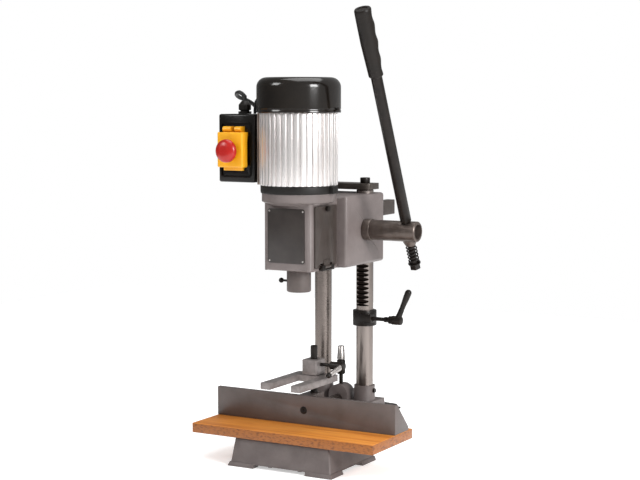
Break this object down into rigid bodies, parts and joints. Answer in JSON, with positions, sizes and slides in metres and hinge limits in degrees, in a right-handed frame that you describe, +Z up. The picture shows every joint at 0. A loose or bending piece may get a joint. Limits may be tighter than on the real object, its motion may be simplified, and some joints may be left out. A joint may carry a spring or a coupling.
{
  "type": "bench mortiser",
  "caption": "Bench mortiser: twin-column mortising machine with a finned motor, side feed lever, wooden table, cast fence, fork hold-down and yellow safety switch",
  "frame": {"origin": "on the bench, centred under the machine: X 0 is the middle between the columns and of the table, Y 0 the table's back edge, Z 0 the base's feet", "axes": "+X right along the fence, +Y to the back, +Z up"},
  "size_m": [0.35, 0.5395, 0.7679],
  "materials": {
    "grey_paint": "satin grey paint",
    "dark_paint": "satin dark grey paint",
    "black_paint": "gloss black paint",
    "bare_steel": "bright ground steel",
    "black_steel": "blackened steel",
    "aluminium": "bright extruded aluminium",
    "black_plastic": "black moulded plastic",
    "yellow_plastic": "yellow moulded plastic",
    "red_plastic": "red moulded plastic",
    "green_plastic": "green moulded plastic",
    "oiled_wood": "oiled hardwood",
    "cord_rubber": "black rubber"
  },
  "bodies": {
    "base": {"base_casting": "grey_paint", "table_board": "oiled_wood", "plain_column": "bare_steel", "rack_column": "bare_steel", "column_tie_plate": "grey_paint", "tie_plate_bolt_left": "black_paint", "tie_plate_bolt_right": "black_paint", "column_set_screw_left": "black_steel", "column_set_screw_right": "black_steel", "table_screw_left": "black_steel", "table_screw_right": "black_steel", "mains_cord": "cord_rubber", "cord_coil": "cord_rubber", "mains_plug": "cord_rubber"},
    "fence": {"fence_casting": "dark_paint", "fence_bar": "bare_steel", "fence_bolt": "black_paint", "hold_down_post": "bare_steel"},
    "fence_lock": {"fence_lock_screw": "bare_steel", "fence_lock_hub": "black_plastic", "fence_lock_arm": "bare_steel"},
    "hold_down": {"hold_down_fork": "bare_steel", "hold_down_block": "grey_paint"},
    "hold_down_lock": {"hold_down_screw": "bare_steel", "hold_down_lock_hub": "black_plastic", "hold_down_lock_arm": "bare_steel"},
    "depth_stop": {"depth_collar": "black_steel"},
    "depth_lock": {"depth_lock_screw": "bare_steel", "depth_lock_hub": "black_plastic"},
    "head": {"head_casting": "grey_paint", "chisel_socket": "black_steel", "chisel_clamp_screw": "black_paint", "door_hinge": "black_paint", "rear_bracket": "grey_paint", "rear_bracket_pin": "black_steel", "motor_flange": "black_paint", "motor_housing": "aluminium", "motor_end_shield": "aluminium", "motor_cap": "black_paint", "motor_cap_screw_left": "black_steel", "motor_cap_screw_right": "black_steel", "switch_box": "black_plastic", "switch_bezel": "yellow_plastic", "cable_gland": "black_plastic", "motor_lead": "cord_rubber"},
    "spindle": {"motor_shaft": "bare_steel", "cooling_fan": "black_plastic", "drill_chuck": "bare_steel"},
    "pinion": {"pinion_shaft": "black_steel", "feed_hub_collar": "black_steel"},
    "hub": {"feed_hub": "black_steel", "lever_spring": "bare_steel"},
    "lever": {"lever_rod": "black_steel", "lever_grip": "black_plastic", "lever_nut": "black_steel"},
    "door": {"access_door": "dark_paint", "door_knob": "black_paint"},
    "flap": {"switch_flap": "yellow_plastic"},
    "stop": {"stop_button": "red_plastic"},
    "start": {"start_button": "green_plastic"}
  },
  "joints": [
    {"name": "head_feed", "type": "slide", "parent": "base", "child": "head", "axis": [0, 0, -1], "range_m": [0, 0.048], "deforming": ["mains_cord"]},
    {"name": "pinion_turn", "type": "hinge", "parent": "head", "child": "pinion", "pos_m": [0.042, 0.0418, 0.3945], "axis": [1, 0, 0], "range_deg": [0, 112]},
    {"name": "lever_index", "type": "hinge", "parent": "pinion", "child": "hub", "pos_m": [0.144, 0.0418, 0.3945], "axis": [1, 0, 0], "range_deg": [-60, 0]},
    {"name": "lever_lift", "type": "slide", "parent": "hub", "child": "lever", "axis": [0, -0.4147, 0.91], "range_m": [0, 0.006], "stiffness_N_per_m": 1500, "springref_m": -0.002, "deforming": ["lever_spring"]},
    {"name": "spindle_turn", "type": "hinge", "parent": "head", "child": "spindle", "pos_m": [0, -0.08, 0.418], "axis": [0, 0, 1], "continuous": true},
    {"name": "door_swing", "type": "hinge", "parent": "head", "child": "door", "pos_m": [0.04855, -0.0693, 0.34], "axis": [0, 1, 0], "range_deg": [0, 80]},
    {"name": "flap_lift", "type": "hinge", "parent": "head", "child": "flap", "pos_m": [-0.1015, -0.1211, 0.569], "axis": [-1, 0, 0], "range_deg": [0, 90]},
    {"name": "stop_press", "type": "slide", "parent": "flap", "child": "stop", "axis": [0, 1, 0], "range_m": [0, 0.003], "stiffness_N_per_m": 300},
    {"name": "start_press", "type": "slide", "parent": "head", "child": "start", "axis": [0, 1, 0], "range_m": [0, 0.002], "stiffness_N_per_m": 300},
    {"name": "fence_slide", "type": "slide", "parent": "base", "child": "fence", "axis": [0, 1, 0], "range_m": [-0.02, 0.016]},
    {"name": "fence_lock_turn", "type": "hinge", "parent": "base", "child": "fence_lock", "pos_m": [0, 0.068, 0.132], "axis": [0, 0, 1], "range_deg": [-90, 90]},
    {"name": "hold_down_slide", "type": "slide", "parent": "fence", "child": "hold_down", "axis": [0, 0, 1], "range_m": [-0.018, 0.018]},
    {"name": "hold_down_lock_turn", "type": "hinge", "parent": "hold_down", "child": "hold_down_lock", "pos_m": [0.032, -0.029, 0.165], "axis": [1, 0, 0], "range_deg": [-60, 0]},
    {"name": "depth_stop_slide", "type": "slide", "parent": "base", "child": "depth_stop", "axis": [0, 0, 1], "range_m": [-0.06, 0.01]},
    {"name": "depth_lock_turn", "type": "hinge", "parent": "depth_stop", "child": "depth_lock", "pos_m": [0.08, 0.06, 0.237], "axis": [1, 0, 0], "range_deg": [-45, 45]}
  ],
  "couplings": [
    {"joint": "pinion_turn", "follows": "head_feed", "rad_per_m": 40}
  ]
}
